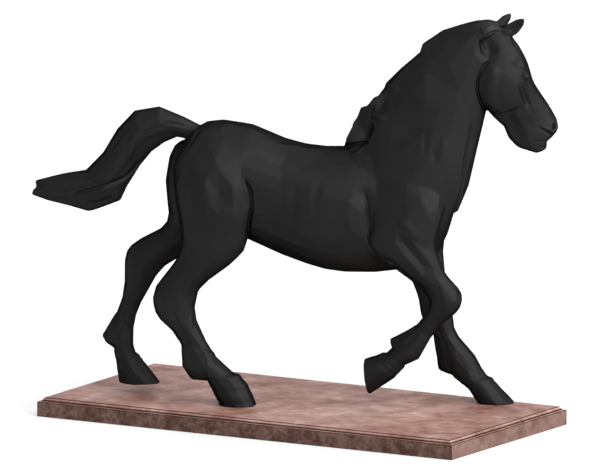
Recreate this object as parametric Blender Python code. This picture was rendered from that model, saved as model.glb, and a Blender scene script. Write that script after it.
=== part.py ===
"""A cast horse statue at the trot on a moulded stone base, with a real size of about half a metre.

Frame: metres, +Z up, the origin at the middle of the base's underside, +X along the base's long side.
The horse is drawn on a sculptor's grid of 400 steps from its soles to its ear tips. On that grid x runs
forward, y to the horse's left and z up from the soles, so every place on it is a share of its own height.
"""

import math

import bmesh
import bpy
import numpy as np
from mathutils import Matrix, Vector
from mathutils.bvhtree import BVHTree

# Driving sizes of the base, in metres
BASE_LENGTH = 0.480
BASE_WIDTH = 0.228
BASE_FACE_HEIGHT = 0.0152
LEDGE_WIDTH = 0.0036
STEP_HEIGHT = 0.0014
FILLET_WIDTH = 0.0005
OVOLO_WIDTH = 0.0023
OVOLO_HEIGHT = 0.0026
OVOLO_SWEEP = math.radians(62)
OVOLO_STEPS = 5
ARRIS = 0.0004

# Driving sizes of the horse, in metres and degrees
HORSE_HEIGHT = 0.400
HORSE_TURN = 22.2
HORSE_SHIFT = (0.0015, -0.0026)
SEAT_GAP = 0.0003
GRID_STEPS = 400
STEP = HORSE_HEIGHT / GRID_STEPS

# How many points the forms' sections have. The grain of the cast and the reach of its crisp forms are in
# grid steps. A share of 1 is smoothed fully, and the finished horse has about CASTING_FACES triangles.
SECTION_POINTS = 28
SECTIONS_PER_SPAN = 5
CRISP_POINTS = 14
HOOF_POINTS = 20
EGG_POINTS = 20
CASTING_GRAIN = 1.4
SMOOTHING_ROUNDS = 24
CRISP_SHARE = 0.12
CRISP_REACH = 1.6
CASTING_FACES = 9600

# The neck turns to the horse's left between these places on the grid
BEND_FROM = 140
BEND_TO = 215
BEND_ANGLE = math.radians(20)

STONE_COLOUR = (0.36, 0.20, 0.165, 1)
STONE_ROUGHNESS = 0.35
STONE_METAL = 0
BRONZE_COLOUR = (0.030, 0.030, 0.031, 1)
BRONZE_ROUGHNESS = 0.55
BRONZE_METAL = 0.6


def clear_scene():
    for old in list(bpy.data.objects):
        bpy.data.objects.remove(old)


def make_material(name, colour, roughness, metallic):
    made = bpy.data.materials.new(name)
    made.use_nodes = True
    shader = made.node_tree.nodes["Principled BSDF"]
    shader.inputs["Base Color"].default_value = colour
    shader.inputs["Roughness"].default_value = roughness
    shader.inputs["Metallic"].default_value = metallic
    return made


def make_object(name, mesh):
    made = bpy.data.objects.new(name, mesh)
    bpy.context.scene.collection.objects.link(made)
    return made


# The stone base

def rectangle(inset, height):
    """The base's outline drawn in by inset, at a height."""
    x = BASE_LENGTH / 2 - inset
    y = BASE_WIDTH / 2 - inset
    return [Vector((px, py, height)) for px, py in ((-x, -y), (x, -y), (x, y), (-x, y))]


def base_profile():
    """The edge from the underside up: arris, tall face, ledge, step, fillet and ovolo, as (inset, height)."""
    ledge = BASE_FACE_HEIGHT
    step = ledge + STEP_HEIGHT
    found = [(ARRIS, 0), (0, ARRIS), (0, ledge - ARRIS), (ARRIS, ledge), (LEDGE_WIDTH, ledge), (LEDGE_WIDTH, step)]
    for i in range(OVOLO_STEPS + 1):
        turn = OVOLO_SWEEP * i / OVOLO_STEPS
        out = (1 - math.cos(turn)) / (1 - math.cos(OVOLO_SWEEP))
        up = math.sin(turn) / math.sin(OVOLO_SWEEP)
        found.append((LEDGE_WIDTH + FILLET_WIDTH + OVOLO_WIDTH * out, step + OVOLO_HEIGHT * up))
    return found


def base_height():
    return BASE_FACE_HEIGHT + STEP_HEIGHT + OVOLO_HEIGHT


def make_base():
    shape = bmesh.new()
    loops = [[shape.verts.new(p) for p in rectangle(inset, height)] for inset, height in base_profile()]
    for low, high in zip(loops, loops[1:]):
        for i in range(4):
            j = (i + 1) % 4
            shape.faces.new((low[i], low[j], high[j], high[i]))
    shape.faces.new(loops[0][::-1])
    shape.faces.new(loops[-1])
    mesh = bpy.data.meshes.new("stone_base")
    shape.to_mesh(mesh)
    shape.free()
    base = make_object("stone_base", mesh)
    mesh.materials.append(make_material("rose_marble", STONE_COLOUR, STONE_ROUGHNESS, STONE_METAL))
    return base


# Sections and lofts on the horse's grid

def section(front, back, side, half_width, square, egg, points):
    """A closed oval section. It spans front to back in the side view, and half_width to each side of side.
    square above 2 squares its corners, and egg above 0 widens its front half."""
    middle = ((front[0] + back[0]) / 2, (front[1] + back[1]) / 2)
    reach = (front[0] - middle[0], front[1] - middle[1])
    found = []
    for i in range(points):
        turn = 2 * math.pi * i / points
        along = math.copysign(abs(math.cos(turn)) ** (2 / square), math.cos(turn))
        across = math.copysign(abs(math.sin(turn)) ** (2 / square), math.sin(turn))
        width = half_width * (1 + egg * along)
        found.append((middle[0] + reach[0] * along, side + width * across, middle[1] + reach[1] * along))
    return found


def smooth_between(a, b, c, d, share):
    """A Catmull-Rom curve's number between b and c."""
    rise = -a + 3 * b - 3 * c + d
    bow = 2 * a - 5 * b + 4 * c - d
    return b + share * ((c - a) + share * (bow + share * rise)) / 2


def straight_between(a, b, c, d, share):
    return b + (c - b) * share


def fill_in(stations, per_span, between=smooth_between):
    """The stations with per_span sections worked out along each span."""
    rows = [stations[0]] + list(stations) + [stations[-1]]
    found = []
    for a, b, c, d in zip(rows, rows[1:], rows[2:], rows[3:]):
        for i in range(per_span):
            share = i / per_span
            found.append(tuple(between(w, x, y, z, share) for w, x, y, z in zip(a, b, c, d)))
    return found + [stations[-1]]


def turned_neck(point):
    """A point of the neck or head, carried round to the left with the bend."""
    x, y, z = point
    run = min(max(x - BEND_FROM, 0), BEND_TO - BEND_FROM)
    turn = BEND_ANGLE * run / (BEND_TO - BEND_FROM)
    radius = (BEND_TO - BEND_FROM) / BEND_ANGLE
    beyond = max(x - BEND_TO, 0)
    centre_x = min(x, BEND_FROM) + radius * math.sin(turn) + beyond * math.cos(BEND_ANGLE)
    centre_y = radius * (1 - math.cos(turn)) + beyond * math.sin(BEND_ANGLE)
    return (centre_x - y * math.sin(turn), centre_y + y * math.cos(turn), z)


def loft(rings, bend=False):
    """A closed mesh through the rings, capped at both ends, in metres."""
    if bend:
        rings = [[turned_neck(p) for p in ring] for ring in rings]
    shape = bmesh.new()
    loops = [[shape.verts.new(Vector(p) * STEP) for p in ring] for ring in rings]
    count = len(loops[0])
    for one, two in zip(loops, loops[1:]):
        for i in range(count):
            j = (i + 1) % count
            shape.faces.new((one[i], one[j], two[j], two[i]))
    for loop in (loops[0], loops[-1]):
        hub = shape.verts.new(sum((v.co for v in loop), Vector()) / count)
        for i in range(count):
            shape.faces.new((loop[i], loop[(i + 1) % count], hub))
    bmesh.ops.recalc_face_normals(shape, faces=shape.faces)
    return shape


def limb(stations, square=2.0, egg=0.0, bend=False, per_span=SECTIONS_PER_SPAN, between=smooth_between,
         points=SECTION_POINTS):
    """A loft through stations of (front x, front z, back x, back z, side, half width)."""
    rows = fill_in(stations, per_span, between)
    return loft([section(r[0:2], r[2:4], r[4], r[5], square, egg, points) for r in rows], bend)


def muscle(middle, reach, tilt=0, bend=False):
    """An egg of flesh: its middle, its half sizes along x, y and z, and its tilt about y in degrees."""
    shape = bmesh.new()
    bmesh.ops.create_uvsphere(shape, u_segments=EGG_POINTS, v_segments=EGG_POINTS // 2, radius=1)
    turn = Matrix.Rotation(math.radians(tilt), 4, "Y")
    place = Matrix.Translation(Vector(middle)) @ turn @ Matrix.Diagonal((*reach, 1))
    bmesh.ops.transform(shape, matrix=place, verts=shape.verts)
    for v in shape.verts:
        v.co = Vector(turned_neck(v.co) if bend else v.co) * STEP
    return shape


def both_sides(middle, reach, tilt, bend=False):
    x, y, z = middle
    return [muscle((x, side * y, z), reach, tilt, bend) for side in (1, -1)]


# The horse's sub-parts, as stations of (front x, front z, back x, back z, side, half width)

TRUNK = (
    (-118, 262, -122, 214, 0, 18),
    (-106, 276.8, -108, 196, 0, 36),
    (-84, 283.6, -84, 178, 0, 43),
    (-50, 279.6, -52, 165, 0, 44),
    (-14, 265.8, -14, 149, 0, 44),
    (22, 260, 22, 137.5, 0, 47),
    (56, 262, 56, 134.5, 0, 43),
    (90, 262, 92, 137, 0, 36),
    (126, 248, 128, 145, 0, 35),
    (146, 227, 139, 160, 0, 28),
    (154, 207, 147, 178, 0, 14),
)

NECK = (
    (156, 196, 54, 248, 0, 38),
    (167, 223, 58, 272, 0, 35),
    (174, 251, 71, 300, 0, 30),
    (180, 276, 89, 330, 0, 25),
    (184, 297, 116, 356, 0, 21),
    (186, 315, 142, 376, 0, 17.5),
    (192, 338, 172, 388, 0, 15),
)

HEAD = (
    (205, 386, 178, 376, 0, 8),
    (213, 371, 176, 356, 0, 12),
    (222, 359, 176, 338, 0, 16.5),
    (228, 345, 178, 322, 0, 18),
    (232, 331, 184, 306, 0, 16),
    (240, 317, 195.5, 291.5, 0, 13),
    (249, 304, 204, 283.5, 0, 11),
    (255, 294, 207.5, 274, 0, 10.5),
    (258.4, 285.5, 213, 266.5, 0, 11.5),
    (257.2, 277.5, 221, 261, 0, 10.5),
    (250.5, 271, 230, 259.5, 0, 8),
)

NEAR_HIND = (
    (-62, 272, -114, 264, -17, 15),
    (-46, 250, -124, 248, -23, 22),
    (-43, 226, -125, 226, -27, 26),
    (-43, 200, -122, 202, -29, 25),
    (-49, 180, -118, 182, -30, 22),
    (-55, 158, -117, 162, -30, 19),
    (-72, 141, -121, 149, -29, 17),
    (-88, 129, -131, 135, -28, 15),
    (-100, 117, -143, 118.5, -27, 14),
    (-104.5, 102, -146.5, 103.5, -26, 14.5),
    (-104, 88, -140, 87, -26, 13),
    (-99, 75, -127, 75, -26, 11),
    (-92, 62, -119, 62, -26, 10),
    (-83, 48, -114, 50, -26, 11.5),
    (-75, 40, -106, 38, -26, 13),
    (-67, 33, -98, 30, -26, 13),
    (-60, 27, -92, 25, -25, 14),
)

FAR_HIND = (
    (-66, 270, -112, 264, 16, 12),
    (-56, 250, -132, 252, 23, 22),
    (-60, 226, -140, 225, 27, 26),
    (-68, 202, -140, 198, 29, 25),
    (-84, 178, -138, 180, 30, 22),
    (-106, 156, -146, 167, 31, 19),
    (-128, 139, -162, 158, 32, 16),
    (-142, 130, -179, 146, 33, 14),
    (-152, 119, -183, 130, 33, 13.5),
    (-160, 105, -183, 112, 34, 12),
    (-167, 92, -186, 95, 34, 9.5),
    (-172, 80, -191, 82, 34, 9.5),
    (-175, 67, -196, 67, 34, 11),
    (-176, 54, -197, 55, 34, 12.5),
    (-175, 43, -194, 43, 34, 12.5),
    (-170, 33, -193, 34, 34, 12.5),
)

NEAR_FORE = (
    (104, 256, 76, 248, -14, 8),
    (132, 238, 70, 226, -22, 14),
    (146, 210, 66, 198, -28, 16),
    (143, 190, 68, 176, -30, 17),
    (138, 168, 76, 158, -30, 16),
    (143, 153, 96, 146, -29, 15),
    (147, 141, 112, 134, -28, 13.5),
    (154, 132, 124, 125, -27, 12),
    (162, 123, 131, 116, -26, 12),
    (165.5, 112, 134, 109, -26, 12.5),
    (160, 101, 131, 101, -26, 11.5),
    (148, 91, 125, 92, -26, 9.5),
    (137, 79, 115, 82, -26, 9),
    (129, 66, 107, 74, -26, 11),
    (121, 52, 98, 65, -26, 13),
    (110, 47, 91, 58, -26, 12.5),
    (101, 41, 84, 54, -26, 12.5),
)

FAR_FORE = (
    (104, 256, 76, 248, 14, 8),
    (132, 238, 70, 226, 22, 14),
    (142, 210, 66, 198, 28, 16),
    (141, 182, 74, 172, 30, 17),
    (138, 156, 90, 148, 30, 16),
    (139, 138, 101, 132, 29, 14.5),
    (141, 120, 109, 118, 28, 12.5),
    (146, 104, 115, 102, 27, 12),
    (148, 88, 117, 88, 26, 12.5),
    (150, 74, 124, 76, 26, 10.5),
    (155, 64, 131, 64, 26, 10),
    (164, 54, 136, 52, 26, 12),
    (172, 44, 142, 38, 26, 13.5),
    (177, 34, 146, 29, 26, 13),
    (185, 24, 156, 21, 25, 13),
)

# Hooves, from the coronet to the sole, in the same stations
HOOVES = {
    "near_hind": ((-60, 31, -92, 27, -26, 14), (-51, 21, -90, 20, -25, 16), (-40.5, -4, -78, -4, -23, 18)),
    "far_hind": ((-170, 38, -192, 36, 34, 12), (-162, 27, -192, 24, 34, 14.5), (-148, 10, -190, 10, 35, 16.5),
                 (-149, 8.5, -189, 8.5, 35, 15.5)),
    "near_fore": ((108, 43, 85, 57, -26, 12.5), (97.5, 32, 76, 53, -26, 14.5), (73, 15, 68, 51, -26, 16),
                  (70.5, 15.5, 66.5, 50, -26, 15)),
    "far_fore": ((188, 25, 156, 20, 25, 13.5), (195, 17, 164, 14, 25, 15), (215.5, -4, 177, -4, 24.5, 16)),
}

# Long hair behind each pastern, from its root to its point
FEATHERS = {
    "near_hind": ((-84, 52, -117, 66, -26, 10), (-84, 38, -119, 54, -26, 11.5), (-84, 29, -118, 38, -26, 10.5),
                  (-92, 25, -108, 25, -26, 6)),
    "far_hind": ((-178, 64, -193, 79, 34, 9), (-182, 52, -199, 70, 34, 10.5), (-190, 43, -205, 60, 34, 8),
                 (-202, 48, -207, 57, 34, 2.5)),
    "near_fore": ((116, 62, 120, 87, -26, 9.5), (107, 58, 109, 80, -26, 10), (99, 58, 101, 76, -26, 7),
                  (93, 65, 92.5, 72, -26, 2.5)),
    "far_fore": ((156, 52, 129, 66, 26, 10), (156, 40, 131, 52, 26, 11), (152, 30, 133, 40, 26, 9),
                 (148, 27, 134, 31.5, 26, 4)),
}

# From the dock to the blown tip, the upper edge first
TAIL = (
    (-90, 278, -98, 258, 0, 8),
    (-103, 279, -117, 265, 0, 8),
    (-119, 287, -127, 265.5, 0, 10),
    (-144, 297, -139, 260, 0, 13),
    (-169, 292, -152, 250, 0, 15),
    (-186.5, 273, -163, 236, 0, 16),
    (-200.5, 249, -175, 217, 0, 16),
    (-219, 230, -183, 200, 0, 15),
    (-228, 229, -205, 191, 0, 14),
    (-238, 227, -215, 187.5, 0, 12),
    (-252, 223.5, -236, 193.5, 0, 10),
    (-262, 221, -256, 197.5, 0, 8),
    (-268.5, 219, -273.5, 203.5, 0, 5),
)

# The mane's comb from the withers to the poll: the place where it leaves the neck, then its free edge
MANE = (
    (66, 261, 42, 260, 0, 15),
    (74, 264, 48.5, 274, 0, 13),
    (82, 272, 56.5, 289, 0, 13.5),
    (86, 280, 58.5, 299, 0, 13),
    (92, 286, 67.8, 304.4, 0, 9),
    (98, 293, 75.4, 310, 0, 10),
    (104, 302, 82, 320, 0, 12),
    (109, 309, 85.5, 328, 0, 12),
    (118, 317, 97.6, 335.6, 0, 9),
    (128, 326, 108.2, 346, 0, 10),
    (138, 338, 119, 359, 0, 11),
    (142, 344, 121.5, 367.5, 0, 10.5),
    (156, 356, 142, 382, 0, 9),
    (170, 364, 159.6, 388, 0, 10),
    (178, 370, 175.6, 392, 0, 12),
    (188, 376, 188, 393, 0, 12.5),
    (195, 380, 200, 390, 0, 8),
)

# Eggs of flesh beside the middle plane as (middle, half sizes, tilt in degrees): cheeks on the turned head,
# shoulders and their blades on the trunk. The chin lies on the middle plane.
CHEEKS = ((200, 11, 327), (23, 9.5, 28), 0)
SHOULDERS = ((112, -25, 212), (24, 15, 42), -32)
BLADES = ((82, -18, 222), (28, 13.5, 46), -33)
CHIN = ((237.3, 0, 262.8), (10.5, 7.5, 6.8))

# Ears as (base, tip, half width), the base and tip as x, y and z before the neck's turn
EARS = {
    "near_ear": ((204.2, -8, 378.4), (224.3, -11, 395), 7.7),
    "far_ear": ((196.8, 7, 382.6), (214.6, 10, 397.8), 6.4),
}
EAR_SHAPE = ((0, 0.75), (0.25, 1), (0.5, 0.95), (0.75, 0.68), (0.92, 0.34), (1, 0.1))
EAR_POINTS = 6
EAR_BACK = 0.8
EAR_HOLLOW = 0.2
EYES = {"near_eye": (222.5, -14.6, 337), "far_eye": (222.5, 14.6, 337)}
EYE_REACH = (5.2, 3.0, 3.6)
EYE_TILT = 35

# How square a section's corners are, where 2 is an oval, and how much wider its front half is
NECK_EGG = 0.05
HEAD_SQUARE = 2.3
FEATHER_SECTION = (2.0, 0.25)
TAIL_SECTION = (1.6, 0.35)
MANE_SECTION = (2.2, 0.45)

# Lines cut in the flesh as (side, half width, depth, path of x and z): side -1 near, 1 far, 0 on both.
# A depth below 0 raises a ridge.
GROOVES = (
    (0, 2.3, 2.6, ((191, 355), (181, 346), (177, 334), (176.5, 324), (179, 312), (184, 303), (191, 300),
                  (198, 299), (203, 299.6), (209, 302), (217, 307))),
    (-1, 3.0, 3.2, ((-53, 236), (-46, 222), (-44.6, 206), (-46.6, 195), (-52, 166))),
    (1, 3.0, 3.0, ((-60, 232), (-60, 218), (-66, 202), (-76, 187))),
    (-1, 2.8, 2.8, ((72.7, 182), (74, 169), (78, 161), (82, 154.5), (95, 154), (103, 147))),
    (1, 2.8, 2.8, ((68, 182), (75, 166), (85, 153), (97, 144))),
    (0, 9.0, 2.8, ((64, 230), (70.6, 214.5), (72.7, 194), (72.7, 172))),
    (0, 9.0, -1.3, ((55, 226), (53.5, 199), (55, 172))),
    (0, 8.0, 2.8, ((101, 184), (108, 175), (115.5, 164), (124.6, 154), (138, 137))),
    (0, 3.4, 2.2, ((-163, 243), (-171, 230), (-180, 223), (-192, 219), (-212, 212), (-234, 205))),
    (-1, 15.0, 3.4, ((-80, 243), (-76, 220), (-72, 195))),
    (1, 15.0, 3.4, ((-94, 243), (-94, 220), (-96, 195))),
    (0, 6.0, -3.0, ((38, 259), (48, 274), (54, 286), (62, 300))),
    (0, 6.0, -2.8, ((64, 300), (73, 307), (80, 312), (89, 323))),
    (0, 3.0, 1.9, ((74, 270), (67, 268.5), (55, 265.5), (36, 258))),
    (0, 4.5, 2.2, ((214, 332), (218.3, 324), (221.4, 316.5), (227.5, 302))),
    (0, 1.8, 1.8, ((258, 269.5), (253.6, 273.6), (250, 276.3), (246, 278.6), (241, 281), (235, 284.5))),
    (0, 11.0, 3.6, ((199, 303), (207, 292), (213.5, 281), (218, 270), (220, 258))),
)
# Hollows as (middle, radius, depth), cut on both sides
HOLLOWS = (
    ((253.5, 9, 284), 3.6, 3.2),
    ((108, 24, 287), 26, 2.0),
    ((144, 20, 330), 20, 1.6),
    ((186, 13, 364), 13, 3.4),
    ((215, 17, 349), 8, 1.8),
    ((85, 12, 304), 12, 3.4),
    ((68, 13, 279), 12, 3.8),
    ((-266, 0, 212.5), 5, 3.0),
)
# How much the flesh swells to make up for its smoothing, how far beyond its reach a stroke fades in, and how
# soon skin that turns away from the side takes no stroke
SWELL = 1.1
STROKE_FADE = 5
SIDE_GAIN = 2


def straightened(points):
    """The points as they would stand had the neck not been turned."""
    radius = (BEND_TO - BEND_FROM) / BEND_ANGLE
    found = points.copy()
    forward = points[:, 0] - BEND_FROM
    left = radius - points[:, 1]
    turn = np.clip(np.arctan2(forward, left), 0, BEND_ANGLE)
    along = forward * np.cos(turn) - left * np.sin(turn)
    out = forward * np.sin(turn) + left * np.cos(turn)
    bent = forward > 0
    found[bent, 0] = (BEND_FROM + radius * turn + along)[bent]
    found[bent, 1] = (radius - out)[bent]
    return found


def dip(distance, reach):
    """1 on the line, falling smoothly to 0 at reach."""
    share = np.clip(distance / reach, 0, 1)
    return (1 - share * share) ** 2


def stroke(flat, path, reach):
    """How deeply a stroke along the path marks each side-view point. It fades out at both of its ends."""
    nearest = np.full(len(flat), np.inf)
    along = np.zeros(len(flat))
    passed = 0
    for start, end in zip(path, path[1:]):
        span = math.dist(start, end)
        a = np.array(start)
        piece = np.array(end) - a
        share = np.clip((flat - a) @ piece / (piece @ piece), 0, 1)
        distance = np.linalg.norm(flat - a - share[:, None] * piece, axis=1)
        closer = distance < nearest
        nearest[closer] = distance[closer]
        along[closer] = passed + share[closer] * span
        passed += span
    from_end = np.minimum(along, passed - along)
    return dip(nearest, reach) * (1 - dip(from_end, reach + STROKE_FADE))


def sculpt(mesh, flesh_share):
    """Swells the cast flesh a little, then cuts its grooves and hollows."""
    count = len(mesh.vertices)
    points = np.empty(count * 3)
    mesh.vertices.foreach_get("co", points)
    points = points.reshape(count, 3) / STEP
    normals = np.empty(count * 3)
    mesh.vertex_normals.foreach_get("vector", normals)
    normals = normals.reshape(count, 3)
    straight = straightened(points)
    push = SWELL * flesh_share
    for side, reach, depth, path in GROOVES:
        on_side = straight[:, 1] * side >= 0 if side else np.full(count, True)
        facing = np.clip(np.abs(normals[:, 1]) * SIDE_GAIN, 0, 1)
        push -= depth * stroke(straight[:, [0, 2]], path, reach) * facing * on_side
    mirrored = straight.copy()
    mirrored[:, 1] = np.abs(mirrored[:, 1])
    for middle, reach, depth in HOLLOWS:
        push -= depth * dip(np.linalg.norm(mirrored - middle, axis=1), reach)
    moved = (points + normals * push[:, None]) * STEP
    mesh.vertices.foreach_set("co", moved.ravel())
    mesh.update()


def flesh_shapes():
    """Every swelling form of the figure, closed and overlapping, ready to be cast as one."""
    shapes = [limb(TRUNK), limb(NECK, egg=NECK_EGG, bend=True), limb(HEAD, square=HEAD_SQUARE, bend=True)]
    shapes += [limb(NEAR_HIND), limb(FAR_HIND), limb(NEAR_FORE), limb(FAR_FORE)]
    shapes += both_sides(*CHEEKS, bend=True)
    shapes += both_sides(*SHOULDERS)
    shapes += both_sides(*BLADES)
    shapes.append(muscle(*CHIN, bend=True))
    return shapes


def joined_mesh(name, shapes):
    mesh = bpy.data.meshes.new(name)
    whole = bmesh.new()
    for shape in shapes:
        part = bpy.data.meshes.new("part")
        shape.to_mesh(part)
        shape.free()
        whole.from_mesh(part)
        bpy.data.meshes.remove(part)
    whole.to_mesh(mesh)
    whole.free()
    return mesh


def ear(base, tip, half_width):
    """A pointed leaf with a hollow on its outer side."""
    base = Vector(base)
    axis = Vector(tip) - base
    across = Vector((-axis.z, 0, axis.x)).normalized()
    inward = Vector((0, -math.copysign(1, base.y), 0))
    rings = []
    for share, width in EAR_SHAPE:
        middle = base + axis * share
        ring = []
        for i in range(2 * EAR_POINTS):
            turn = math.pi * i / EAR_POINTS
            depth = EAR_BACK if i <= EAR_POINTS else -EAR_HOLLOW
            reach = half_width * width
            ring.append(middle + across * reach * math.cos(turn) + inward * reach * depth * math.sin(turn))
        rings.append([tuple(p) for p in ring])
    return loft(rings, bend=True)


def crisp_limb(stations, square, egg, bend=False):
    return limb(stations, square, egg, bend, per_span=1, between=straight_between, points=CRISP_POINTS)


def crisp_shapes():
    """The forms whose edges stay sharp: hooves, feathers, ears, eyes, tail and mane."""
    found = [limb(rows, between=straight_between, per_span=1, points=HOOF_POINTS) for rows in HOOVES.values()]
    found += [crisp_limb(rows, *FEATHER_SECTION) for rows in FEATHERS.values()]
    found += [ear(base, tip, half_width) for base, tip, half_width in EARS.values()]
    found += [muscle(middle, EYE_REACH, EYE_TILT, bend=True) for middle in EYES.values()]
    found.append(crisp_limb(TAIL, *TAIL_SECTION))
    found.append(crisp_limb(MANE, *MANE_SECTION, bend=True))
    return found


def evaluated_mesh(shape):
    """The mesh that an object's modifiers make. The object itself goes."""
    finished = shape.evaluated_get(bpy.context.evaluated_depsgraph_get())
    mesh = bpy.data.meshes.new_from_object(finished)
    bpy.data.objects.remove(shape)
    return mesh


def cast_as_one(shapes):
    """All the forms remeshed into one closed skin."""
    rough = make_object("rough", joined_mesh("rough", shapes))
    cast = rough.modifiers.new("cast as one", "REMESH")
    cast.mode = "VOXEL"
    cast.voxel_size = CASTING_GRAIN * STEP
    return evaluated_mesh(rough)


def crisp_tree(shapes):
    whole = bmesh.new()
    whole.from_mesh(joined_mesh("crisp", shapes))
    tree = BVHTree.FromBMesh(whole)
    whole.free()
    return tree


def soften(mesh, tree):
    """Smooths the skin. What lies on a crisp form keeps nearly all of its edge."""
    count = len(mesh.vertices)
    points = np.empty(count * 3)
    mesh.vertices.foreach_get("co", points)
    points = points.reshape(count, 3)
    edges = np.empty(len(mesh.edges) * 2, dtype=np.int64)
    mesh.edges.foreach_get("vertices", edges)
    one, two = edges.reshape(-1, 2).T
    neighbours = np.bincount(one, minlength=count) + np.bincount(two, minlength=count)
    away = np.array([tree.find_nearest(Vector(p))[3] for p in points]) / (CRISP_REACH * STEP)
    share = CRISP_SHARE + (1 - CRISP_SHARE) * np.clip(away - 1, 0, 1)
    for _ in range(SMOOTHING_ROUNDS):
        middle = np.zeros((count, 3))
        np.add.at(middle, one, points[two])
        np.add.at(middle, two, points[one])
        points += (middle / neighbours[:, None] - points) * (share / 2)[:, None]
    mesh.vertices.foreach_set("co", points.ravel())
    mesh.update()
    return share


def faceted(mesh):
    """The skin with few, broad facets."""
    shape = make_object("shape", mesh)
    facet = shape.modifiers.new("facet", "DECIMATE")
    facet.ratio = CASTING_FACES / (2 * len(mesh.polygons))
    return evaluated_mesh(shape)


def cut_soles(mesh):
    """Cuts the standing hooves off flat at the height of the soles."""
    shape = bmesh.new()
    shape.from_mesh(mesh)
    everything = shape.verts[:] + shape.edges[:] + shape.faces[:]
    cut = bmesh.ops.bisect_plane(shape, geom=everything, plane_co=(0, 0, 0), plane_no=(0, 0, 1), clear_inner=True)
    rim = [e for e in cut["geom_cut"] if isinstance(e, bmesh.types.BMEdge)]
    bmesh.ops.holes_fill(shape, edges=rim)
    shape.to_mesh(mesh)
    shape.free()


def make_horse():
    crisp = crisp_shapes()
    tree = crisp_tree([shape.copy() for shape in crisp])
    mesh = cast_as_one(flesh_shapes() + crisp)
    sculpt(mesh, soften(mesh, tree))
    mesh = faceted(mesh)
    cut_soles(mesh)
    horse = make_object("horse", mesh)
    mesh.name = "horse"
    mesh.materials.append(make_material("black_bronze", BRONZE_COLOUR, BRONZE_ROUGHNESS, BRONZE_METAL))
    seat = Matrix.Translation((*HORSE_SHIFT, base_height() + SEAT_GAP))
    horse.matrix_world = seat @ Matrix.Rotation(math.radians(HORSE_TURN), 4, "Z")
    return horse


def main():
    clear_scene()
    make_base()
    make_horse()


main()
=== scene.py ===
import math

import bpy
import numpy as np
from mathutils import Matrix, Vector
from mathutils.bvhtree import BVHTree


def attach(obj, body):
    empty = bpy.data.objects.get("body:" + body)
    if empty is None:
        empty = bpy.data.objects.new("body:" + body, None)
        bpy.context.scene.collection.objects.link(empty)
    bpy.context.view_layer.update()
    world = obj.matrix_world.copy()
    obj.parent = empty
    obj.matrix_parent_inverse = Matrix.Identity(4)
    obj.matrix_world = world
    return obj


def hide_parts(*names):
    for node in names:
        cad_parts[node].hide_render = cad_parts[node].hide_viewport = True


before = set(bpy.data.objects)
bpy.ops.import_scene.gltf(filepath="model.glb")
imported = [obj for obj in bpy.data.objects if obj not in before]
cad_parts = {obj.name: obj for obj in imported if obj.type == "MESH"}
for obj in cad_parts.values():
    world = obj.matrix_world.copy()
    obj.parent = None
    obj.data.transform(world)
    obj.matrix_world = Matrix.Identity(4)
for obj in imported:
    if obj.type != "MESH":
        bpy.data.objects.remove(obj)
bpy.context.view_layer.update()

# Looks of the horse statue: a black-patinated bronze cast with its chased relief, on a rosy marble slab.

# The horse's grid, as it was modelled: steps of a millimetre, x forward, y to its left, z up from its soles
GRID_STEP = 0.001
HORSE_TURN = math.radians(22.2)
HORSE_SEAT = (0.0015, -0.0026, 0.0195)
BEND_FROM = 140
BEND_TO = 215
BEND_ANGLE = math.radians(20)
NECK_LOWEST = 190

# The base, in metres
BASE_TOP = 0.0192
BASE_LENGTH = 0.480
BASE_WIDTH = 0.228
LEDGE_HEIGHT = 0.0152
MOULDING_INSET = 0.0064

# Where the dark lines and painted shade lie on the base: heights and insets of its lines
LIP_HEIGHT = 0.0189
QUIRK_HEIGHT = 0.0161
QUIRK_INSET = 0.0038
ARRIS_HEIGHT = 0.0150

# Colours of the patina, with its painted highlight and its darkest tone for hollows and painted shade, of the
# marble's top and of its sides darkened as painted shade from dark to light, of the base's dark lines and
# painted shade, and of the floor
PATINA_DARK = (0.0052, 0.0052, 0.0054, 1)
PATINA_LIGHT = (0.0080, 0.0080, 0.0082, 1)
PATINA_RUBBED_AND_HIGHLIT = (0.0205, 0.0202, 0.0197, 1)
PATINA_SUNK_AND_SHADE = (0.0008, 0.0008, 0.0008, 1)
TOP_STOPS = ((0.38, (0.160, 0.072, 0.053, 1)), (0.46, (0.240, 0.122, 0.098, 1)),
             (0.54, (0.320, 0.180, 0.150, 1)), (0.63, (0.430, 0.282, 0.248, 1)))
SHADED_SIDE_STOPS = ((0.38, (0.044, 0.018, 0.012, 1)), (0.50, (0.084, 0.044, 0.034, 1)),
              (0.62, (0.140, 0.084, 0.068, 1)))
LINES_AND_SHADE_COLOUR = (0.016, 0.008, 0.006, 1)
FLOOR_DARK = (0.44, 0.44, 0.44, 1)
FLOOR_LIGHT = (0.46, 0.46, 0.46, 1)
WHITE = (1, 1, 1, 1)

# How much darker the base's ends are painted than its top, as painted shade
END_SHADE = 0.53

# How glossy each stuff is, and how brightly the floor and the air of the studio glow
BRONZE_GLOSS = 0.12
MARBLE_GLOSS = 0.15
FLOOR_GLOSS = 0.1
FLOOR_GLOW = 0.40
AIR_GLOW = 0.6

# The studio's lights as (name, place, breadth in degrees, strength), and the floor's size
LIGHTS = (
    ("key", (2.9, -0.8, 1.9), 70, 5.2),
    ("back", (0.2, 2.4, 2.4), 60, 0.9),
)
FLOOR_SIZE = 24

# The camera, in degrees and metres
CAMERA_AZIMUTH = 30.3
CAMERA_ELEVATION = 10.47
CAMERA_SPAN = 0.600
CAMERA_AIM_ACROSS = -0.0019
CAMERA_AIM_UP = 0.1686
CAMERA_DISTANCE = 2.0

# How finely the cast is worked, and the shares by which its facets are rounded and then swelled back
CAST_GRAIN = 0.0008
SOFTEN_ROUNDS = 2
SOFTEN_IN = 0.55
SOFTEN_OUT = 0.50
CAST_TRIANGLES = 190000
SAME_POINT = 0.00001

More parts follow.
